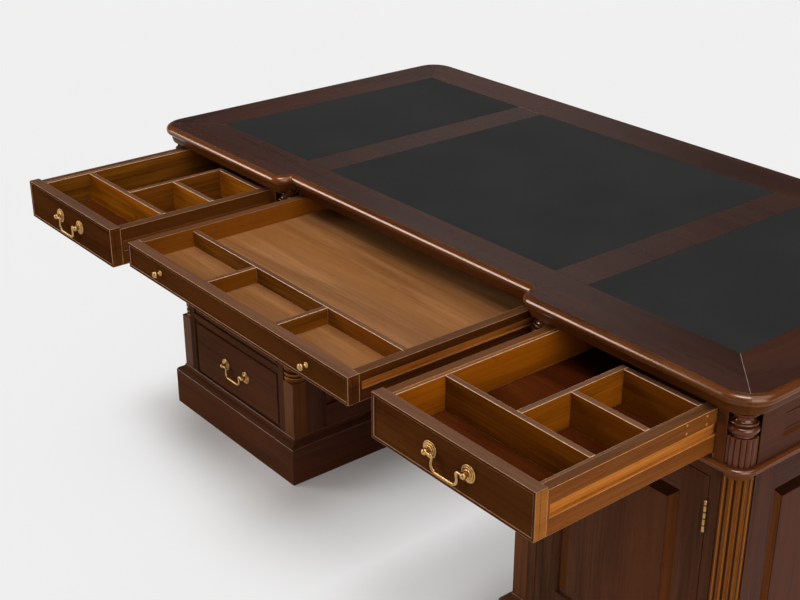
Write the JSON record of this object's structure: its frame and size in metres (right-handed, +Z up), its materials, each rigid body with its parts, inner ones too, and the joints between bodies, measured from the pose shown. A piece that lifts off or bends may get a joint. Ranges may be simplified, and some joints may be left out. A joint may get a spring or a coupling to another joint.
{
  "type": "partners desk",
  "caption": "Twin-pedestal partners desk with inset leather top, breakfront moulded edge, fluted corner columns, sliding drawers and hinged cupboard doors.",
  "frame": {"origin": "on the floor, under the middle of the desk's top and carcase (closed, without the drawers that stand open)", "axes": "+X along the desk to the right as seen from the side with the frieze drawers, -Y out of the frieze drawers, +Z up"},
  "size_m": [1.8, 1.293, 0.78],
  "materials": {
    "show_wood": "dark red-brown polished hardwood, satin lacquer",
    "drawer_wood": "orange-brown polished hardwood inside the drawers",
    "floor_wood": "brown stained drawer floors with figure",
    "inner_wood": "plain stained wood inside the carcase",
    "leather": "black smooth skiver, low sheen",
    "brass": "antique polished brass"
  },
  "bodies": {
    "desk": {"top_rail_front": "show_wood", "top_rail_rear": "show_wood", "top_rail_left": "show_wood", "top_rail_right": "show_wood", "top_core": "inner_wood", "crossbands": "show_wood", "leather_panels": "leather", "corner_columns": "show_wood", "capitals": "show_wood", "pedestal_ends": "show_wood", "kneehole_sides": "show_wood", "side_panels": "show_wood", "drawer_stack_frame": "show_wood", "cupboard_frame": "show_wood", "rear_cupboard_frames": "show_wood", "pedestal_boards": "inner_wood", "plinths": "show_wood", "bead_boards": "show_wood", "frieze_ends": "show_wood", "frieze_partitions": "show_wood", "frieze_rear": "show_wood", "frieze_panels": "show_wood", "frieze_front_rails": "show_wood", "drawer_runners": "inner_wood", "hinge_leaves": "brass"},
    "left_drawer": {"left_drawer_front": "show_wood", "left_drawer_box": "drawer_wood", "left_drawer_bottom": "floor_wood", "left_drawer_dividers": "drawer_wood", "left_drawer_handle_posts": "brass"},
    "left_drawer_bail": {"left_drawer_bail": "brass"},
    "right_drawer": {"right_drawer_front": "show_wood", "right_drawer_box": "drawer_wood", "right_drawer_bottom": "floor_wood", "right_drawer_dividers": "drawer_wood", "right_drawer_handle_posts": "brass"},
    "right_drawer_bail": {"right_drawer_bail": "brass"},
    "centre_drawer": {"centre_drawer_front": "show_wood", "centre_drawer_box": "drawer_wood", "centre_drawer_bottom": "floor_wood", "centre_drawer_dividers": "drawer_wood", "centre_drawer_knobs": "brass"},
    "bottom_drawer": {"bottom_drawer": "show_wood", "bottom_drawer_handle_posts": "brass"},
    "bottom_drawer_bail": {"bottom_drawer_bail": "brass"},
    "middle_drawer": {"middle_drawer": "show_wood", "middle_drawer_handle_posts": "brass"},
    "middle_drawer_bail": {"middle_drawer_bail": "brass"},
    "top_drawer": {"top_drawer": "show_wood", "top_drawer_handle_posts": "brass"},
    "top_drawer_bail": {"top_drawer_bail": "brass"},
    "cupboard_door": {"cupboard_door_frame": "show_wood", "cupboard_door_panel": "show_wood", "cupboard_door_fittings": "brass"},
    "rear_right_door": {"rear_right_door_frame": "show_wood", "rear_right_door_panel": "show_wood", "rear_right_door_fittings": "brass"},
    "rear_left_door": {"rear_left_door_frame": "show_wood", "rear_left_door_panel": "show_wood", "rear_left_door_fittings": "brass"}
  },
  "joints": [
    {"name": "left_drawer_slide", "type": "slide", "parent": "desk", "child": "left_drawer", "axis": [0, -1, 0], "range_m": [-0.397, 0.05]},
    {"name": "left_drawer_bail_swing", "type": "hinge", "parent": "left_drawer", "child": "left_drawer_bail", "pos_m": [-0.6295, -0.834, 0.69725], "axis": [-1, 0, 0], "range_deg": [-15, 95]},
    {"name": "right_drawer_slide", "type": "slide", "parent": "desk", "child": "right_drawer", "axis": [0, -1, 0], "range_m": [-0.397, 0.05]},
    {"name": "right_drawer_bail_swing", "type": "hinge", "parent": "right_drawer", "child": "right_drawer_bail", "pos_m": [0.6295, -0.834, 0.69725], "axis": [-1, 0, 0], "range_deg": [-15, 95]},
    {"name": "centre_drawer_slide", "type": "slide", "parent": "desk", "child": "centre_drawer", "axis": [0, -1, 0], "range_m": [-0.428, 0.04]},
    {"name": "bottom_drawer_slide", "type": "slide", "parent": "desk", "child": "bottom_drawer", "axis": [0, -1, 0], "range_m": [0, 0.28]},
    {"name": "bottom_drawer_bail_swing", "type": "hinge", "parent": "bottom_drawer", "child": "bottom_drawer_bail", "pos_m": [-0.6295, -0.44, 0.19567], "axis": [-1, 0, 0], "range_deg": [-15, 95]},
    {"name": "middle_drawer_slide", "type": "slide", "parent": "desk", "child": "middle_drawer", "axis": [0, -1, 0], "range_m": [0, 0.28]},
    {"name": "middle_drawer_bail_swing", "type": "hinge", "parent": "middle_drawer", "child": "middle_drawer_bail", "pos_m": [-0.6295, -0.44, 0.364], "axis": [-1, 0, 0], "range_deg": [-15, 95]},
    {"name": "top_drawer_slide", "type": "slide", "parent": "desk", "child": "top_drawer", "axis": [0, -1, 0], "range_m": [0, 0.28]},
    {"name": "top_drawer_bail_swing", "type": "hinge", "parent": "top_drawer", "child": "top_drawer_bail", "pos_m": [-0.6295, -0.44, 0.53233], "axis": [-1, 0, 0], "range_deg": [-15, 95]},
    {"name": "cupboard_door_swing", "type": "hinge", "parent": "desk", "child": "cupboard_door", "pos_m": [0.81975, -0.4327, 0.36], "axis": [0, 0, 1], "range_deg": [0, 170]},
    {"name": "rear_right_door_swing", "type": "hinge", "parent": "desk", "child": "rear_right_door", "pos_m": [0.81975, 0.4327, 0.36], "axis": [0, 0, -1], "range_deg": [0, 170]},
    {"name": "rear_left_door_swing", "type": "hinge", "parent": "desk", "child": "rear_left_door", "pos_m": [-0.81975, 0.4327, 0.36], "axis": [0, 0, 1], "range_deg": [0, 170]}
  ]
}
